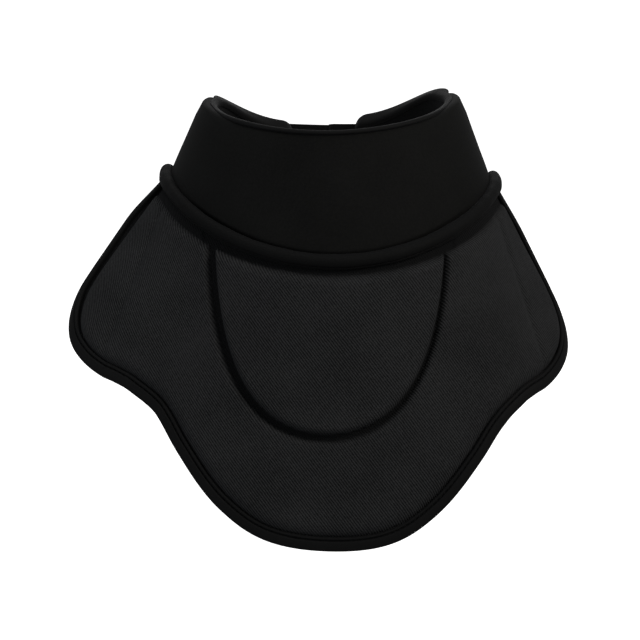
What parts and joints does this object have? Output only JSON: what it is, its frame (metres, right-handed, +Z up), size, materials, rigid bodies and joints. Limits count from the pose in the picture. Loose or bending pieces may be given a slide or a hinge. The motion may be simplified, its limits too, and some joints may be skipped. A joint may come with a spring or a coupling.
{
  "type": "neck guard",
  "caption": "Padded throat collar with a flared chest bib, a raised centre pad, folding side wings and a hook-and-loop strap at the nape.",
  "frame": {"origin": "centre of the neck opening, level with the side of the collar's foot", "axes": "+Z up along the wearer's neck, -Y to the wearer's front, +X to the wearer's left"},
  "size_m": [0.2778, 0.1952, 0.2385],
  "materials": {
    "binding_tape": "smooth knit binding, soft sheen",
    "twill_shell": "matte diagonal twill",
    "jersey_shell": "smooth knit face",
    "foam": "closed-cell foam",
    "lining_knit": "brushed knit lining",
    "stiffener_plastic": "matte sheet",
    "cut_resistant_weave": "plain ballistic weave",
    "webbing": "woven tape",
    "hook_tape": "moulded hooks",
    "loop_tape": "brushed loop pile",
    "pull_tab_rubber": "matte ribbed"
  },
  "bodies": {
    "collar": {"collar_outer_cover": "jersey_shell", "collar_cut_layer": "cut_resistant_weave", "collar_foam": "foam", "collar_lining": "lining_knit", "throat_stiffener": "stiffener_plastic", "collar_top_edge": "binding_tape", "neckline_roll": "binding_tape", "bib_lining": "lining_knit", "bib_centre_plate": "stiffener_plastic", "bib_centre_foam": "foam", "bib_centre_cover": "twill_shell", "bib_surround_foam": "foam", "bib_surround_cover": "twill_shell", "bib_edge_binding": "binding_tape", "wing_root_left": "binding_tape", "wing_root_right": "binding_tape"},
    "wing_left": {"wing_lining_left": "lining_knit", "wing_foam_left": "foam", "wing_cover_left": "twill_shell", "wing_binding_left": "binding_tape"},
    "wing_right": {"wing_lining_right": "lining_knit", "wing_foam_right": "foam", "wing_cover_right": "twill_shell", "wing_binding_right": "binding_tape"},
    "rear_tab_left": {"rear_tab_cover_left": "jersey_shell", "rear_tab_foam_left": "foam", "rear_tab_lining_left": "lining_knit", "rear_tab_binding_left": "binding_tape", "strap_anchor": "webbing"},
    "rear_tab_right": {"rear_tab_cover_right": "jersey_shell", "rear_tab_foam_right": "foam", "rear_tab_lining_right": "lining_knit", "rear_tab_binding_right": "binding_tape", "loop_patch": "loop_tape"},
    "strap": {"strap": "webbing", "hook_patch": "hook_tape", "strap_pull_tab": "pull_tab_rubber"}
  },
  "joints": [
    {"name": "wing_left_fold", "type": "hinge", "parent": "collar", "child": "wing_left", "pos_m": [0.10308, -0.04291, -0.06265], "axis": [0.2893, -0.3303, -0.8984], "range_deg": [-20, 25]},
    {"name": "wing_right_fold", "type": "hinge", "parent": "collar", "child": "wing_right", "pos_m": [-0.10718, -0.04653, -0.05626], "axis": [0.3561, 0.3914, 0.8485], "range_deg": [-20, 25]},
    {"name": "rear_tab_left_spread", "type": "hinge", "parent": "collar", "child": "rear_tab_left", "pos_m": [0.07193, 0.03333, 0.02426], "axis": [0.3268, 0.1833, -0.9271], "range_deg": [0, 35]},
    {"name": "rear_tab_right_spread", "type": "hinge", "parent": "collar", "child": "rear_tab_right", "pos_m": [-0.07163, 0.03333, 0.02328], "axis": [0.4044, -0.2182, 0.8882], "range_deg": [0, 35]},
    {"name": "strap_peel", "type": "hinge", "parent": "rear_tab_left", "child": "strap", "pos_m": [0.02157, 0.07252, 0.01328], "axis": [0.1238, 0.5237, -0.8429], "range_deg": [0, 110]}
  ],
  "couplings": [
    {"joint": "rear_tab_right_spread", "follows": "rear_tab_left_spread", "ratio": 1}
  ]
}
